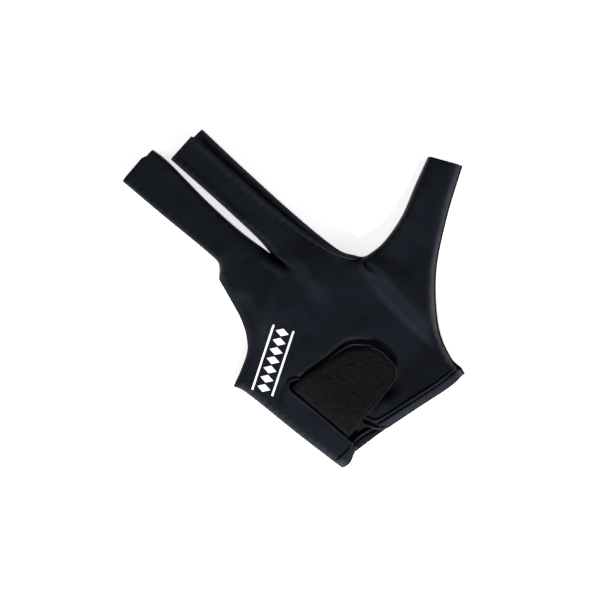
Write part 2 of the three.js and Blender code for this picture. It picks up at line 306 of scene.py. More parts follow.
# Soft folds of the back. Each runs from its start past its middle to its end, and falls off over
# left and right to its two sides. The height is its crest above the plain surface, or its depth.
Fold = namedtuple("Fold", "x0 y0 xm ym x1 y1 left right high")
FOLDS = [
    Fold(24, 2, 7, -50, 13, -102, 24, 9, 1.75),  # ridge at the root of the thumb
    Fold(22, -6, 10, -34, 12, -66, 10, 8, 0.5),  # its upper part is steeper
    Fold(14, -8, 24, -32, 23, -50, 20, 6, -1.25),  # dent beside it in the crotch of the thumb
    Fold(6, -20, -1.5, -50, 1, -100, 3, 17, -0.7),  # hollow on its other side
    Fold(12.5, -14, 9.4, -24, 8.2, -33, 1.2, 1.6, 0.9),  # tuck at the end of the gusset
    Fold(11.4, -21, 10.6, -26, 12.4, -33, 0.9, 0.9, -0.4),  # and its crease
    Fold(-19.6, 32, -19.4, 14, -17, 2, 0.8, 2.4, -3.5),  # pleat in the crotch of the fingers
    Fold(-23, 23, -23.2, 12, -22.3, 2, 1.2, 3, 0.6),  # and its lip
    Fold(-13, 16, -5, -3, -24, -25, 12, 8, 2.0),  # ridge across the knuckles
    Fold(-24, -6, -29.5, -18, -36, -31, 6, 3.5, 0.4),  # its end in the middle of the hand
    Fold(-55, 32, -29, 9, -62, -14, 24, 6, 1.3),  # ripples along the ring finger's opening
    Fold(-27, 15, -38, 0, -68, -14, 6, 7, 1.3),
    Fold(-60, 33, -36, 39, -14, 34, 24, 11, 1.1),
    Fold(-76, -43, -74, -34, -60, -33.5, 3, 2.2, -0.8),  # crease round the end of the slit
    Fold(-80, -35, -40, -42, 0, -51, 15, 12, 0.9),  # rise towards the tab
    Fold(-39, -66, -38.8, -79, -36.5, -88, 2.4, 16, 0.4),  # small fold below the tab
    Fold(-34, -38, -18, -60, -27, -84, 5, 18, -0.9),  # hollow round the end of the tab
    Fold(-32, -66, -31, -77, -33, -84.5, 9, 7, -2.2),  # dent below the tab
    Fold(-38, -77, -20, -80, 2, -80, 40, 9, -0.5),  # and the hollow that runs on from it
    Fold(-60, -86, -15, -96, 22, -99, 17, 7, 2.1),  # rise towards the wrist hem
    Fold(-27, 135, -27.5, 95, -27, 58, 5, 9, -0.25),  # the middle sleeve sags along its middle
    Fold(-12, 125, -11.5, 60, -13, 6, 11, 3.5, -0.6),  # and the index sleeve
    Fold(12, -22, 42, -34, 100, 0, 4, 16, 1.5),  # along the thumb sleeve
]
FOLD_SAMPLES = 16

# The dip beside the slit follows the slit's edge on the thumb's side.
SLIT_THUMB_SIDE = np.array([[-58.8, -40.4], [-54.3, -81.0]])
SLIT_DIP = 1.8
SLIT_DIP_WIDE = 8


def ease(t):
    t = np.clip(t, 0, 1)
    return t * t * (3 - 2 * t)


def shoulder(t):
    return np.sin(np.clip(t, 0, 1) * math.pi / 2)


def bump(distance, wide):
    return np.exp(-((distance / wide) ** 2))


def crease(share):
    """A straight-sided ridge: 1 on its crest and 0 where share reaches 1, with its corners softened."""
    soft = 0.1
    side = 1 - np.sqrt(share**2 + soft**2) + soft
    return (side + np.sqrt(side**2 + soft**2)) / 2 - soft**2 / (4 + 2 * share**2)


def lumps(points, size, seed):
    """Smooth unevenness from -1 to 1, with lumps of the given size."""
    return np.array([noise.noise(Vector((x, y, seed))) for x, y in points / size])


def catmull_rom(knots, samples):
    """A smooth curve through the knots, as an array with the given number of samples a span."""
    padded = np.vstack([2 * knots[0] - knots[1], knots, 2 * knots[-1] - knots[-2]])
    t = (np.arange(samples) / samples)[:, None]
    spans = []
    for a, b, c, d in zip(padded, padded[1:], padded[2:], padded[3:]):
        bend, twist = 2 * a - 5 * b + 4 * c - d, 3 * b - a - 3 * c + d
        spans.append(0.5 * (2 * b + (c - a) * t + bend * t**2 + twist * t**3))
    return np.vstack([*spans, knots[-1:]])


def spaced(line, step, keep_end=True):
    """The line's points again, the given step apart."""
    along = np.concatenate([[0], np.cumsum(np.hypot(*np.diff(line[:, :2], axis=0).T))])
    count = max(1, round(along[-1] / step))
    stops = np.linspace(0, along[-1], count + 1)[: None if keep_end else -1]
    return np.column_stack([np.interp(stops, along, column) for column in line.T])


def path_through(points, step=0.8):
    """A smooth open path through a few points."""
    return spaced(catmull_rom(np.array(points, float), 24), step)


def nearest(points, starts, ends):
    """For each point, the distance to the nearest segment, its number and the share along it."""
    steps = ends - starts
    found = []
    for block in np.array_split(points, len(points) // 4000 + 1):
        offset = block[:, None] - starts
        share = np.clip((offset * steps).sum(2) / (steps**2).sum(1), 0, 1)
        gap = offset - share[..., None] * steps
        distance = np.hypot(gap[..., 0], gap[..., 1])
        best = distance.argmin(1)
        rows = np.arange(len(block))
        found.append(np.column_stack([distance[rows, best], best, share[rows, best]]))
    distance, number, share = np.vstack(found).T
    return distance, number.astype(int), share


class Outline:
    """A closed edge, traced from rows."""

    def __init__(self, rows, step=MESH_STEP):
        first = next(i for i, row in enumerate(rows) if not row.smooth)
        around = rows[first:] + rows[: first + 1]
        ends = [i for i, row in enumerate(around) if not row.smooth]
        traced = []
        for low, high in zip(ends, ends[1:]):
            run = around[low : high + 1]
            line = catmull_rom(np.array([(row.x, row.y, row.rim, i) for i, row in enumerate(run)]), 24)
            line = spaced(line, step, keep_end=False)
            traced += [(x, y, rim, run[min(int(i + 1e-6), len(run) - 2)].edge) for x, y, rim, i in line]
        self.points = np.array([entry[:2] for entry in traced])
        self.rims = np.array([entry[2] for entry in traced])
        self.kinds = np.array([entry[3] for entry in traced])
        self.ends = np.roll(self.points, -1, axis=0)

    def runs(self, kind):
        """Each unbroken run of one kind of edge, as its points and their outward directions."""
        tangent = self.ends - np.roll(self.points, 1, axis=0)
        tangent /= np.linalg.norm(tangent, axis=1)[:, None]
        (x0, y0), (x1, y1) = self.points.T, self.ends.T
        around = 1 if (x0 * y1 - x1 * y0).sum() > 0 else -1
        outward = np.column_stack([tangent[:, 1], -tangent[:, 0]]) * around
        chosen = np.flatnonzero(self.kinds == kind)
        for run in np.split(chosen, np.flatnonzero(np.diff(chosen) > 1) + 1):
            run = np.append(run, (run[-1] + 1) % len(self.points))
            yield self.points[run], outward[np.append(run[:-1], run[-2])]

    def edge_distance(self, points):
        return nearest(points, self.points, self.ends)[0]

    def to_kind(self, points, kind):
        """Distance to the nearest edge of one kind, its rim height and the length along the outline."""
        chosen = np.flatnonzero(self.kinds == kind)
        distance, number, share = nearest(points, self.points[chosen], self.ends[chosen])
        number = chosen[number]
        rim = self.rims[number] * (1 - share) + self.rims[(number + 1) % len(self.rims)] * share
        return distance, rim, (number + share) * MESH_STEP

    def inside(self, points):
        (x0, y0), (x1, y1) = self.points.T, self.ends.T
        x, y = points[:, :1], points[:, 1:]
        crosses = (y0 > y) != (y1 > y)
        with np.errstate(divide="ignore", invalid="ignore"):
            left_of = x < (x1 - x0) * (y - y0) / (y1 - y0) + x0
        return (crosses & left_of).sum(1) % 2 == 1

    def ring(self, depth):
        """Points the given depth inside the edge."""
        tangent = self.ends - np.roll(self.points, 1, axis=0)
        normal = np.column_stack([-tangent[:, 1], tangent[:, 0]])
        normal /= np.linalg.norm(normal, axis=1)[:, None]
        moved = self.points + normal * depth
        moved = moved if self.inside(moved).mean() > 0.5 else self.points - normal * depth
        return moved[(self.edge_distance(moved) > 0.85 * depth) & self.inside(moved)]


back = Outline(BACK_ROWS)
palm = Outline(PALM_ROWS)
tab = Outline(BACKING_CUT)


def fold_heights(points):
    """What all folds together add to the back's height."""
    total = np.zeros(len(points))
    t = np.linspace(0, 1, FOLD_SAMPLES + 1)[:, None]
    for fold in FOLDS:
        start, middle, end = np.array(fold[:6]).reshape(3, 2)
        line = start * (1 - t) ** 2 + middle * 2 * t * (1 - t) + end * t**2
        distance, number, share = nearest(points, line[:-1], line[1:])
        step, offset = (line[1:] - line[:-1])[number], points - line[number]
        on_left = step[:, 0] * offset[:, 1] - step[:, 1] * offset[:, 0] > 0
        along = (number + share) / FOLD_SAMPLES
        fade = ease(2.6 * np.minimum(along, 1 - along))
        total += fold.high * crease(distance / np.where(on_left, fold.left, fold.right)) * fade
    return total


def slit_dip(points):
    """How far the back sinks beside the slit, where the tab comes out over it."""
    x, y = points.T
    distance = nearest(points, SLIT_THUMB_SIDE[:1], SLIT_THUMB_SIDE[1:])[0]
    near_end = 0.1 + 0.9 * ease((-38 - y) / 13)
    above_hem = ease((y + 88) / 12)
    return SLIT_DIP * bump(distance, SLIT_DIP_WIDE) * ease((x + 69) / 8) * near_end * above_hem


def pressed_down(points, underside):
    """How far the closing tab pushes the back down where it lies on it."""
    beside = np.where(tab.inside(points), 0, tab.edge_distance(points))
    reach = (1 - ease(beside / TAB_PRESS_FADE)) * ease((points[:, 0] - TAB_PRESS_FROM) / 3)
    return reach * np.clip(underside + CLOTH + TAB_CLEAR - tab_height(points), 0, None)


def back_height(points):
    """Underside of the back."""
    x, y = points.T
    distance, rim, along = back.to_kind(points, "sewn")
    free = back.to_kind(points, "free")[0]
    uneven = 0.24 * lumps(points, 21, 3) + 0.13 * lumps(points, 7, 8)
    wander = 2 * lumps(points, 15, 5)
    waves = np.sin(along * 2 * math.pi / PUCKER_PITCH + wander)
    pucker = PUCKER_HIGH * waves * bump(distance - 1.5, 2.0)
    in_finger = ease((y - FINGERS_FROM[0]) / FINGERS_FROM[1])
    in_sleeve = np.maximum(in_finger, ease((x - THUMB_FROM[0]) / THUMB_FROM[1]))
    in_strip = ease((STRIP_FROM[0] - x) / STRIP_FROM[1])
    in_thumb_crotch = ease((y + 34 - 0.12 * (x - 10)) / 6) * ease((x - 8) / 6)
    full = CROWN + (SLEEVE_CROWN - CROWN) * in_sleeve + fold_heights(points) - slit_dip(points) + uneven
    droop = FREE_DROOP * np.clip(1 - free / FREE_DROOP_WIDE, 0, 1) ** 1.4
    steep = SEAM_SHARE + (1 - SEAM_SHARE) * np.maximum(in_finger, in_strip)
    narrow = np.maximum(in_finger, in_thumb_crotch)
    roll = SEAM_ROLL + (FINGER_ROLL - SEAM_ROLL) * narrow - STRIP_NARROWER * in_strip
    rise = steep * (1 - np.exp(-distance / roll)) + (1 - steep) * shoulder(distance / BACK_SHOULDER)
    over_gusset = np.clip(rim - BACK_RIM - 1.5, 0, 1)
    raised = INDEX_EDGE_RISE * over_gusset * np.clip(1 - distance / INDEX_EDGE_WIDE, 0, 1)
    underside = rim + (full - rim - droop) * rise + pucker + raised
    return underside - pressed_down(points, underside)


def palm_height(points):
    """Underside of the palm."""
    distance = palm.to_kind(points, "sewn")[0]
    return PALM_LIFT * (1 - shoulder(distance / PALM_SHOULDER))


def gusset_height(points):
    """Underside of the gusset: low beside the edge of the back, fuller towards its outer seam."""
    distance = palm.to_kind(points, "sewn")[0]
    return BACK_RIM + GUSSET_FULL * bump(distance - 2.4, 1.6) + 0.1 * lumps(points, 5, 9)


def tab_height(points):
    """Underside of the closing tab."""
    x = points[:, 0]
    climbed = ease((x - TAB_CLIMB[0]) / (TAB_CLIMB[1] - TAB_CLIMB[0]))
    curl = np.clip((x - TAB_CURL[0]) / TAB_CURL[1], 0, 1) ** 2 * TAB_CURL[2]
    return TAB_BASE_HIGH + (TAB_LAID_HIGH - TAB_BASE_HIGH) * climbed + curl


def pad_height(points):
    """Underside of the pad."""
    return tab_height(points) + CLOTH + PAD_CLEAR + 0.15 * lumps(points, 16, 4)


def back_top(points):
    return back_height(points) + CLOTH


# Meshes
def make_object(name, vertices, faces, material):
    """A mesh object from vertices in millimetres."""
    mesh = bpy.data.meshes.new(name)
    mesh.from_pydata((np.asarray(vertices) * MM).tolist(), [], faces)
    mesh.materials.append(material)
    mesh.shade_smooth()
    mesh.update()
    piece = bpy.data.objects.new(name, mesh)
    bpy.context.scene.collection.objects.link(piece)
    return piece


def sheet_shape(rows, under, thick, step=MESH_STEP, relief=None, rounded=ROUNDED):
    """A closed sheet with rounded edges, as vertices and faces. under gives its underside's height."""
    outline = Outline(rows, step)
    low, high = outline.points.min(0), outline.points.max(0)
    y = np.arange(low[1], high[1], step * 0.87)
    x = np.arange(low[0], high[0], step)
    grid = np.array([(a + step / 2 * (j % 2), b) for j, b in enumerate(y) for a in x])
    grid = grid[outline.inside(grid)]
    grid = grid[outline.edge_distance(grid) > rounded + 0.4 * step]
    rings = [outline.ring(depth * rounded) for depth in RING_DEPTHS]
    points = np.vstack([outline.points, *rings, grid])
    count = len(outline.points)
    rim_edges = [(i, (i + 1) % count) for i in range(count)]
    flat, _, faces, *_ = delaunay_2d_cdt([Vector(p) for p in points], rim_edges, [], 1, 1e-4)
    between = [np.mean([flat[i][:] for i in face], axis=0) for face in faces if max(face) < count]
    if between:
        points = np.vstack([points, between])
        flat, _, faces, *_ = delaunay_2d_cdt([Vector(p) for p in points], rim_edges, [], 1, 1e-4)
    flat = np.array([tuple(p) for p in flat])
    inward = outline.edge_distance(flat)
    round_off = np.sqrt(1 - (1 - np.clip(inward / rounded, 0, 1)) ** 2)
    middle = under(flat) + thick / 2
    top = middle + thick / 2 * round_off
    if relief:
        top += relief(flat, inward) * round_off
    bottom = middle - thick / 2 * round_off
    on_rim = inward < 1e-3
    below = np.where(on_rim, np.arange(len(flat)), len(flat) + np.cumsum(~on_rim) - 1)
    vertices = np.vstack([np.column_stack([flat, top]), np.column_stack([flat, bottom])[~on_rim]])
    up = []
    for a, b, c in faces:
        turn = (flat[b][0] - flat[a][0]) * (flat[c][1] - flat[a][1])
        turn -= (flat[b][1] - flat[a][1]) * (flat[c][0] - flat[a][0])
        up.append((a, b, c) if turn > 0 else (a, c, b))
    down = [tuple(int(below[i]) for i in reversed(face)) for face in up]
    keep = [face for face, other in zip(up, down) if set(face) != set(other)]
    back_to_back = [other for face, other in zip(up, down) if set(face) != set(other)]
    return vertices, keep + back_to_back


def sheet(name, rows, under, thick, material, **shaping):
    """A closed sheet of cloth."""
    return make_object(name, *sheet_shape(rows, under, thick, **shaping), material)


def tube(name, path, heights, radius, material, sides=8):
    """A bead that runs along a flat path at the given heights of its axis, with tapered ends."""
    centre = np.column_stack([path, heights])
    along = np.gradient(centre, axis=0)
    along /= np.linalg.norm(along, axis=1)[:, None]
    side = np.cross(along, (0, 0, 1))
    side /= np.linalg.norm(side, axis=1)[:, None]
    over = np.cross(side, along)
    share = np.linspace(0, 1, len(path))
    taper = np.sqrt(np.clip(np.minimum(share, 1 - share) * len(path) / 2, 0.02, 1))
    angle = np.arange(sides) * 2 * math.pi / sides
    round_it = side[:, None] * np.cos(angle)[:, None] + over[:, None] * np.sin(angle)[:, None]
    vertices = (centre[:, None] + round_it * (radius * taper)[:, None, None]).reshape(-1, 3)
    faces = []
    for i in range(len(path) - 1):
        for j in range(sides):
            k = (j + 1) % sides
            faces.append((i * sides + j, (i + 1) * sides + j, (i + 1) * sides + k, i * sides + k))
    faces.append(tuple(range(sides)))
    faces.append(tuple(reversed(range(len(vertices) - sides, len(vertices)))))
    return make_object(name, vertices, faces, material)


THREAD_RADIUS = 0.2


def overlock(name, line, outward, heights, out, up, pitch, material):
    """A thread that winds round an edge: out and up are the half width and half height of its turns."""
    dense = spaced(np.column_stack([line, outward, heights]), pitch / 10)
    turn = np.arange(len(dense)) / 10 * 2 * math.pi
    path = dense[:, :2] + dense[:, 2:4] * (out * np.cos(turn) - 0.75 * out)[:, None]
    return tube(name, path, dense[:, 4] + up * np.sin(turn), THREAD_RADIUS, material, sides=5)


def rod_faces(first, rings, sides):
    """The faces of a closed rod, whose rings of vertices follow each other from the number first."""
    faces = []
    for low in range(first, first + (rings - 1) * sides, sides):
        for j in range(sides):
            a, b = low + j, low + (j + 1) % sides
            faces.append((a, b, b + sides, a + sides))
    faces.append(tuple(first + j for j in reversed(range(sides))))
    faces.append(tuple(first + (rings - 1) * sides + j for j in range(sides)))
    return faces


STITCH_SIDES = 6
STITCH_RINGS = np.linspace(-1, 1, 6)


def stitches(name, path, surface, pitch, long, thick, material, turn=0.0):
    """Separate stitches along a path, turned from its direction. Both ends of each dip in."""
    stops = spaced(path, pitch)
    heading = np.arctan2(*np.gradient(stops, axis=0).T[::-1]) + turn
    angle = np.arange(STITCH_SIDES) * 2 * math.pi / STITCH_SIDES
    full = np.sqrt(np.maximum(1 - STITCH_RINGS**2, 0.03)) * thick / 2
    vertices, faces = [], []
    for (x, y), aim in zip(stops, heading):
        ahead = np.array([math.cos(aim), math.sin(aim)])
        aside = np.array([-math.sin(aim), math.cos(aim)])
        centre = np.array([x, y]) + STITCH_RINGS[:, None] * ahead * long / 2
        high = surface(centre) + thick * (0.3 - 0.9 * STITCH_RINGS**4)
        faces += rod_faces(len(vertices), len(STITCH_RINGS), STITCH_SIDES)
        for (cx, cy), z, radius in zip(centre, high, full):
            for a in angle:
                spot = (cx, cy) + aside * radius * math.cos(a)
                vertices.append((*spot, z + radius * math.sin(a)))
    return make_object(name, vertices, faces, material)


# Materials
def link(tree, kind, sockets, **settings):
    """A shader node. Each named socket is set to a value or joined to another node's output."""
    made = tree.nodes.new(kind)
    for key, value in settings.items():
        setattr(made, key, value)
    for key, value in sockets.items():
        if isinstance(value, bpy.types.NodeSocket):
            tree.links.new(value, made.inputs[key])
        else:
            made.inputs[key].default_value = value
    return made


def start_material(name):
    """A new material, with its node tree, its shader and the object's own coordinates."""
    material = bpy.data.materials.new(name)
    material.use_nodes = True
    tree = material.node_tree
    place = tree.nodes.new("ShaderNodeTexCoord").outputs["Object"]
    return material, tree, tree.nodes["Principled BSDF"], place


def noise_value(tree, place, scale, detail):
    made = link(tree, "ShaderNodeTexNoise", {"Vector": place, "Scale": scale, "Detail": detail})
    return made.outputs["Fac"]


def calculated(tree, operation, *values):
    """What a Math node makes of its values."""
    return link(tree, "ShaderNodeMath", dict(enumerate(values)), operation=operation).outputs[0]


def mapped(tree, value, **ends):
    """The value moved from one range to another. The ends are From_Min, From_Max, To_Min and To_Max."""
    sockets = {key.replace("_", " "): end for key, end in ends.items()}
    return link(tree, "ShaderNodeMapRange", {"Value": value, **sockets}).outputs["Result"]


def blended(tree, factor, low, high):
    """A colour between low and high."""
    sockets = {"Factor": factor, "A": (*low, 1), "B": (*high, 1)}
    return link(tree, "ShaderNodeMix", sockets, data_type="RGBA").outputs["Result"]


def cloth_material(name, dark, light, roughness, sheen, pattern, bump_high, speck=0.25, blotch=0.5):
    """A cloth whose colour goes from dark to light with its pattern and a soft mottle."""
    material, tree, shader, place = start_material(name)
    weave = pattern(tree, place)
    patches = noise_value(tree, place, 110.0, 5.0)
    mottle = mapped(tree, patches, From_Min=0.32, From_Max=0.68, To_Min=1 - blotch, To_Max=1.0)
    fuzz = noise_value(tree, place, 1900.0, 3.0)
    woven = calculated(tree, "MULTIPLY", mottle, weave)
    grain = calculated(tree, "MULTIPLY_ADD", fuzz, speck, woven)
    tree.links.new(blended(tree, grain, dark, light), shader.inputs["Base Color"])
    rough = mapped(tree, mottle, To_Min=roughness - 0.1, To_Max=roughness + 0.1)
    tree.links.new(rough, shader.inputs["Roughness"])
    height = calculated(tree, "MULTIPLY_ADD", fuzz, 0.35, weave)
    bumps = {"Height": height, "Strength": 0.6, "Distance": bump_high * MM}
    relief = link(tree, "ShaderNodeBump", bumps)
    tree.links.new(relief.outputs["Normal"], shader.inputs["Normal"])
    shader.inputs["Specular IOR Level"].default_value = 0.13
    shader.inputs["Specular Tint"].default_value = (0.72, 0.77, 0.88, 1)
    shader.inputs["Sheen Weight"].default_value = sheen
    shader.inputs["Sheen Roughness"].default_value = 0.45
    shader.inputs["Sheen Tint"].default_value = (0.55, 0.62, 0.85, 1)
    return material


def turned(tree, place, angle):
    """The place, turned about Z."""
    made = link(tree, "ShaderNodeMapping", {"Vector": place, "Rotation": (0, 0, angle)})
    return made.outputs["Vector"]


def ribs(tree, place, period, direction):
    """Fine ribs with the given period in millimetres."""
    scale = math.pi / 10 / (period * MM)
    wave = link(tree, "ShaderNodeTexWave", {"Vector": place, "Scale": scale}, bands_direction=direction)
    return wave.outputs["Fac"]


def jersey(tree, place):
    """The fine wales of a stretch knit, each stitch a small V."""
    wale = ribs(tree, place, 0.46, "X")
    course = ribs(tree, turned(tree, place, math.radians(24)), 0.36, "Y")
    return calculated(tree, "MULTIPLY", wale, course)


def open_mesh(tree, place):
    """A net of small round holes on a diagonal grid."""
    net = turned(tree, place, math.radians(38))
    layout = {"Vector": net, "Scale": 1 / (1.15 * MM), "Randomness": 0.12}
    cells = link(tree, "ShaderNodeTexVoronoi", layout)
    cells.voronoi_dimensions = "2D"
    return mapped(tree, cells.outputs["Distance"], From_Min=0.22, From_Max=0.42)


def loops(tree, place):
    """The tangled loops of a brushed pad."""
    layout = {"Vector": place, "Scale": 1 / (0.7 * MM)}
    tangle = link(tree, "ShaderNodeTexVoronoi", layout, feature="SMOOTH_F1")
    clumps = noise_value(tree, place, 1 / (2.2 * MM), 5.0)
    return calculated(tree, "MULTIPLY", tangle.outputs["Distance"], clumps)


LYCRA = cloth_material(
    "lycra", (0.0010, 0.0016, 0.0034), (0.0022, 0.0031, 0.0062), 0.52, 0.02, jersey, 0.07
)
# The palm's mesh is the same cloth as the gusset's, made darker: its colours are painted shade, for the
# mesh that shows deep in the slit.
MESH_KNIT_SHADED = cloth_material(
    "mesh_knit_shaded", (0.0004, 0.0004, 0.0010), (0.0050, 0.0046, 0.0082), 0.65, 0.02, open_mesh, 0.30
)
LOOP = cloth_material(
    "brushed_loop", (0.0010, 0.0009, 0.0008), (0.0080, 0.0072, 0.0062), 0.95, 0.0, loops, 0.5, 0.5, 0.7
)
FIBRE = cloth_material(
    "loop_fibre", (0.0026, 0.0023, 0.0020), (0.0120, 0.0108, 0.0095), 0.8, 0.02, loops, 0.02, 0.5, 0.7
)
# The gusset's mesh is the palm's mesh made far lighter: its colours are painted light, for a gusset
# that lies in full light.
GUSSET_KNIT_LIT = cloth_material(
    "gusset_mesh_lit", (0.0011, 0.0015, 0.0034), (0.026, 0.029, 0.048), 0.6, 0.03, open_mesh, 0.30
)
THREAD = cloth_material(
    "thread", (0.002, 0.003, 0.006), (0.008, 0.010, 0.018), 0.5, 0.03, jersey, 0.05
)


def ink_material():
    """White print, cracked finely where the cloth has stretched."""
    material, tree, shader, place = start_material("print_ink")
    cracks = noise_value(tree, place, 1300.0, 6.0)
    worn = mapped(tree, cracks, From_Min=0.30, From_Max=0.38)
    colour = blended(tree, worn, (0.12, 0.13, 0.15), (0.80, 0.81, 0.82))
    tree.links.new(colour, shader.inputs["Base Color"])
    relief = link(tree, "ShaderNodeBump", {"Height": cracks, "Strength": 0.4, "Distance": 0.05 * MM})
    tree.links.new(relief.outputs["Normal"], shader.inputs["Normal"])
    shader.inputs["Roughness"].default_value = 0.55
    return material


PRINT_INK = ink_material()


def fit(piece, slot, *nodes):
    """Puts a finished piece in the frame: it rides on the body and replaces CAD nodes. The slot is not
    used.
    """
    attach(piece, "root")
    if nodes:
        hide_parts(*nodes)
    return piece


# Panels
back_cloth = fit(sheet("back_cloth", BACK_CUT, back_height, CLOTH, LYCRA), "back_cloth", "back_panel")
palm_cloth = fit(
    sheet("palm_cloth", PALM_CUT, palm_height, CLOTH, MESH_KNIT_SHADED), "palm_cloth", "palm_panel"
)
gusset_cloth = fit(
    sheet("gusset_cloth", GUSSET_ROWS, gusset_height, CLOTH, GUSSET_KNIT_LIT), "palm_cloth", "index_gusset"
)


# Hems: each is a band that is fuller than the panel and falls away towards its outer edge.
wrist = Outline(WRIST_EDGE + [corner(3, -104.6, "end"), corner(3, -60, "end"), corner(-80, -60, "end")])
SLIT_MIDDLE = -62


def hem_fall(points):
    """How far a hem lies below the panel. The slit parts its two halves."""
    to_edge = 1 - np.clip(wrist.to_kind(points, "open")[0] / HEM_WIDE, 0, 1)
    little, thumb = (most * to_edge**power for most, power in (LITTLE_HEM_FALL, THUMB_HEM_FALL))
    return np.where(points[:, 0] < SLIT_MIDDLE, little, thumb)


def back_hem_height(points):
    return back_height(points) - hem_fall(points)


thumb_hem = fit(
    sheet("wrist_hem_thumb", THUMB_HEM_CUT, back_hem_height, HEM_THICK, LYCRA),
    "back_cloth",
    "wrist_hem_thumb_side",
)
little_hem = fit(
    sheet("wrist_hem_little", LITTLE_HEM_CUT, back_hem_height, HEM_THICK, LYCRA),
    "back_cloth",
    "wrist_hem_little_side",
)
palm_hem = fit(
    sheet("wrist_hem_under", PALM_HEM_CUT, palm_height, PALM_HEM_THICK, LYCRA),
    "back_cloth",
    "wrist_hem_palm",
)


# Tab
def pad_relief(points, inward):
    """The pad is pressed down by the stitches round its edge, and its loops stand uneven."""
    pressed = -0.75 * (1 - ease(inward / 2.6))
    return pressed + (0.12 * lumps(points, 1.1, 2) + 0.22 * lumps(points, 3.1, 6)) * ease(inward / 2)


tab_backing = fit(
    sheet("tab_backing_cloth", BACKING_CUT, tab_height, CLOTH, LYCRA), "back_cloth", "tab_backing"
)
tab_pad = fit(
    sheet("tab_pad_loop", PAD_CUT, pad_height, PAD_THICK, LOOP, step=PAD_STEP, relief=pad_relief),
    "pad_cloth",
    "tab_pad",
)

# Beads: edges that are turned in, and stitched ridges, stand up as a thin roll.
SLIT_ROLL = [
    (-80.1, -83), (-77, -84.2), (-74.5, -84.6), (-69.6, -84.8), (-67.2, -83.6), (-66.6, -81.5),
    (-66.7, -60), (-67.6, -43), (-67.1, -38), (-64.4, -36), (-61.2, -37.2), (-58.4, -40.2),
    (-56.6, -50), (-53.9, -80), (-53.1, -83.6), (-51.2, -88), (-47.6, -91.4),
]
HEM_RIDGE = [
    (-53.6, -60), (-51.2, -76), (-50.2, -81), (-49.6, -83.6), (-47.4, -85.8), (-40, -88.2),
    (-30, -90.9), (-10, -96.2), (3.2, -98.2),
]
BACKING_ROLL = [
    (-20.4, -59), (-20, -56.4), (-22, -52.8), (-26, -48.2), (-30.2, -46), (-38, -44.4),
    (-46, -43.2),
]
INDEX_ROLL = [
    (11.6, -20.8), (8, -15.7), (3.6, -4.9), (0.6, 14), (-0.5, 36), (-0.8, 64), (-0.7, 92.2),
]
TUCK_ROLL = [(11.6, -20), (9.9, -22.6), (8.9, -25.6), (8.3, -29)]
PAD_ROLL = [
    (-48, -79), (-40, -78.7), (-31, -78.1), (-24.6, -77.4), (-21.2, -75.4), (-19.6, -72),
    (-18.9, -65), (-19.3, -60), (-20.9, -56.3),
]
PALM_RIDGE = [
    (-72, -83.2), (-65, -83.4), (-60, -84.5), (-54, -86.5), (-50, -88.2), (-44, -90.2),
    (-34, -93),
]


def add_bead(name, points, surface, lift, radius, material=LYCRA, slot="back_cloth"):
    path = path_through(points)
    return fit(tube(name, path, surface(path) + lift, radius, material), slot)


slit_bead = add_bead("slit_bead", SLIT_ROLL, back_top, 0.08, 0.76)
hem_bead = add_bead("hem_bead", HEM_RIDGE, back_top, 0.05, 0.68)
backing_bead = add_bead("backing_bead", BACKING_ROLL, tab_height, 1.0, 0.65)
index_bead = add_bead("index_bead", INDEX_ROLL, back_top, -0.3, 1.1)
tuck_bead = add_bead("tuck_bead", TUCK_ROLL, back_top, 0.25, 0.5)
palm_bead = add_bead("palm_bead", PALM_RIDGE, palm_height, 1.6, 0.6)
add_bead("pad_bead", PAD_ROLL, pad_height, 1.0, 0.42, FIBRE, "pad_cloth")

# Threads
SEAM_HIGH = 2.35  # height of the middle of a seam's edge
for number, (line, outward) in enumerate(palm.runs("sewn")):
    heights = np.full(len(line), SEAM_HIGH)
    thread = overlock(
        f"seam_thread_{number}", line, outward, heights, out=0.42, up=1.0, pitch=1.1, material=THREAD
    )
    fit(thread, "back_cloth")


def offset_path(points, aside):
    """A smooth path beside another one."""
    path = path_through(points)
    along = np.gradient(path, axis=0)
    along /= np.linalg.norm(along, axis=1)[:, None]
    return path + np.column_stack([-along[:, 1], along[:, 0]]) * aside


def stitch_row(name, path, surface, pitch, long, thick, turn=0.0, material=THREAD, slot="back_cloth"):
    return fit(stitches(name, path, surface, pitch, long, thick, material, turn), slot)


def hem_top(points):
    return back_hem_height(points) + HEM_THICK


RING_ROW = [(-45.6, 26.6), (-49, 17.5), (-54.6, 2.9), (-63.2, -9.4), (-76.2, -15.1), (-82, -17)]
hem_line = offset_path(HEM_RIDGE[4:], -2.3)
hem_row = stitch_row("hem_stitches", hem_line, hem_top, pitch=2.4, long=1.8, thick=0.4)
ring_line = path_through(RING_ROW)
ring_row = stitch_row("ring_stitches", ring_line, back_top, pitch=2.4, long=1.8, thick=0.36)


def pad_stitch_height(points):
    """The stitches lie in the groove that they press into the pad's edge."""
    return pad_height(points) + PAD_THICK - 0.24


pad_edge = Outline(PAD_CUT, PAD_STEP)
pad_line = pad_edge.ring(1.25)
stitch_row(
    "pad_stitches",
    pad_line[pad_line[:, 0] > SLIT_MIDDLE],
    pad_stitch_height,
    pitch=1.3,
    long=1.9,
    thick=0.34,
    turn=math.pi / 2,
    material=FIBRE,
    slot="pad_cloth",
)

# The pad's brushed nap: thousands of small fibre loops that stand a little out of it
NAP_LOOPS = 5200
NAP_THICK = 0.11
NAP_SUNK = 0.06
NAP_SIDES = 3
NAP_ARC = np.linspace(0, math.pi, 6)


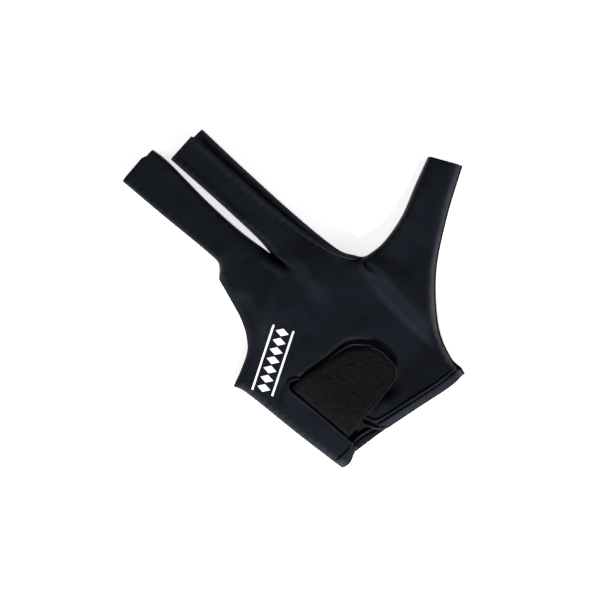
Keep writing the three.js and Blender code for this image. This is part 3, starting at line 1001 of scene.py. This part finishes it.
def nap(name, count, seed):
    """Small arcs of fibre, each half sunk in the pad."""
    draw = np.random.default_rng(seed)
    low, high = pad_edge.points.min(0), pad_edge.points.max(0)
    spots = draw.uniform(low, high, (count * 2, 2))
    spots = spots[pad_edge.inside(spots)]
    spots = spots[pad_edge.edge_distance(spots) > 0.9][:count]
    top = pad_height(spots) + PAD_THICK + pad_relief(spots, pad_edge.edge_distance(spots))
    heading = draw.uniform(0, 2 * math.pi, len(spots))
    reach = draw.uniform(0.25, 0.75, len(spots))
    rise = draw.uniform(0.12, 0.42, len(spots))
    lean = draw.uniform(-0.3, 0.3, len(spots))
    along = np.cos(NAP_ARC)[None, :] * reach[:, None]
    up = np.sin(NAP_ARC)[None, :] * rise[:, None]
    ahead = np.column_stack([np.cos(heading), np.sin(heading)])
    aside = np.column_stack([-ahead[:, 1], ahead[:, 0]])
    leaning = (up * lean[:, None])[..., None] * aside[:, None]
    centre = spots[:, None] + along[..., None] * ahead[:, None] + leaning
    high_at = top[:, None] + up - NAP_SUNK
    angle = np.arange(NAP_SIDES) * 2 * math.pi / NAP_SIDES
    around = centre[:, :, None] + aside[:, None, None] * (NAP_THICK / 2 * np.cos(angle))[:, None]
    level = high_at[..., None] + NAP_THICK / 2 * np.sin(angle)
    vertices = np.concatenate([around, level[..., None]], axis=-1).reshape(-1, 3)
    faces = []
    for first in range(0, len(vertices), len(NAP_ARC) * NAP_SIDES):
        faces += rod_faces(first, len(NAP_ARC), NAP_SIDES)
    return make_object(name, vertices, faces, FIBRE)


fit(nap("pad_nap", NAP_LOOPS, 11), "pad_cloth")

# A plain printed band of small diamonds between two lines, near the little finger's side
MARK_CENTRE = (-61.3, -21.6)
MARK_TURN = math.radians(23.5)
MARK_LONG = 37
MARK_HIGH = 12.4
MARK_LINE = 1.1
MARK_DIAMONDS = 7
MARK_DIAMOND = (2.2, 3.7)  # half its length and half its height
INK_THICK = 0.09
INK_SUNK = 0.02


def ink_height(points):
    return back_top(points) - INK_SUNK


def mark_shape(corners):
    """One printed shape, from corners in the band's own directions."""
    cos, sin = math.cos(MARK_TURN), math.sin(MARK_TURN)
    turn = np.array([[cos, sin], [-sin, cos]])
    rows = [corner(*(np.array(spot) @ turn + MARK_CENTRE)) for spot in corners]
    return sheet_shape(rows, ink_height, INK_THICK, step=0.7, rounded=0.12)


half_long, half_high = MARK_LONG / 2, MARK_HIGH / 2
mark_shapes = []
for low in (-half_high, half_high - MARK_LINE):
    high = low + MARK_LINE
    mark_shapes.append([(-half_long, low), (half_long, low), (half_long, high), (-half_long, high)])
wide, tall = MARK_DIAMOND
for number in range(MARK_DIAMONDS):
    middle = (number - (MARK_DIAMONDS - 1) / 2) * MARK_LONG / MARK_DIAMONDS
    mark_shapes.append([(middle - wide, 0), (middle, -tall), (middle + wide, 0), (middle, tall)])
vertices, faces = [], []
for shape in mark_shapes:
    more_vertices, more_faces = mark_shape(shape)
    faces += [tuple(i + len(vertices) for i in face) for face in more_faces]
    vertices += more_vertices.tolist()
print_mark = fit(make_object("print_mark", vertices, faces, PRINT_INK), "back_cloth")

# Stage and light
FLOOR_SIDE = 4.0  # metres
FLOOR_GLOW = 0.75
WORLD_GLOW = 0.15
LIGHT_FROM = math.radians(-138.2)  # the photograph's lower edge, as a direction on the floor


def floor_material():
    """Pale and nearly plain. It glows a little, to be as white as the photograph's ground."""
    material, tree, shader, place = start_material("floor")
    tone = noise_value(tree, place, 6.0, 2.0)
    colour = blended(tree, tone, (0.86, 0.86, 0.86), (0.9, 0.9, 0.9))
    tree.links.new(colour, shader.inputs["Base Color"])
    shader.inputs["Roughness"].default_value = 0.8
    shader.inputs["Emission Color"].default_value = (1, 1, 1, 1)
    shader.inputs["Emission Strength"].default_value = FLOOR_GLOW
    return material


half_side = FLOOR_SIDE / 2 / MM
floor_corners = [(x * half_side, y * half_side, 0) for x, y in ((-1, -1), (1, -1), (1, 1), (-1, 1))]
floor = make_object("floor", floor_corners, [(0, 1, 2, 3)], floor_material())


def area_light(name, bearing, distance, high, size, power):
    """A square light that aims at the middle of the picture. Its lengths are in metres."""
    light = bpy.data.objects.new(name, bpy.data.lights.new(name, "AREA"))
    bpy.context.scene.collection.objects.link(light)
    light.data.size = size
    light.data.energy = power
    target = Vector((*VIEW_CENTRE, 0)) * MM
    light.location = target + Vector((math.cos(bearing) * distance, math.sin(bearing) * distance, high))
    light.rotation_euler = (target - light.location).to_track_quat("-Z", "Y").to_euler()


area_light("key", LIGHT_FROM, distance=1.0, high=0.47, size=0.14, power=36.5)
area_light("side", LIGHT_FROM + math.pi / 2, distance=0.9, high=0.13, size=0.3, power=9)
area_light("left", LIGHT_FROM - math.pi / 2, distance=0.9, high=0.25, size=0.5, power=4)
world = bpy.data.worlds.new("world")
world.use_nodes = True
world.node_tree.nodes["Background"].inputs["Color"].default_value = (1, 1, 1, 1)
world.node_tree.nodes["Background"].inputs["Strength"].default_value = WORLD_GLOW
bpy.context.scene.world = world
bpy.context.scene.view_settings.view_transform = "Standard"
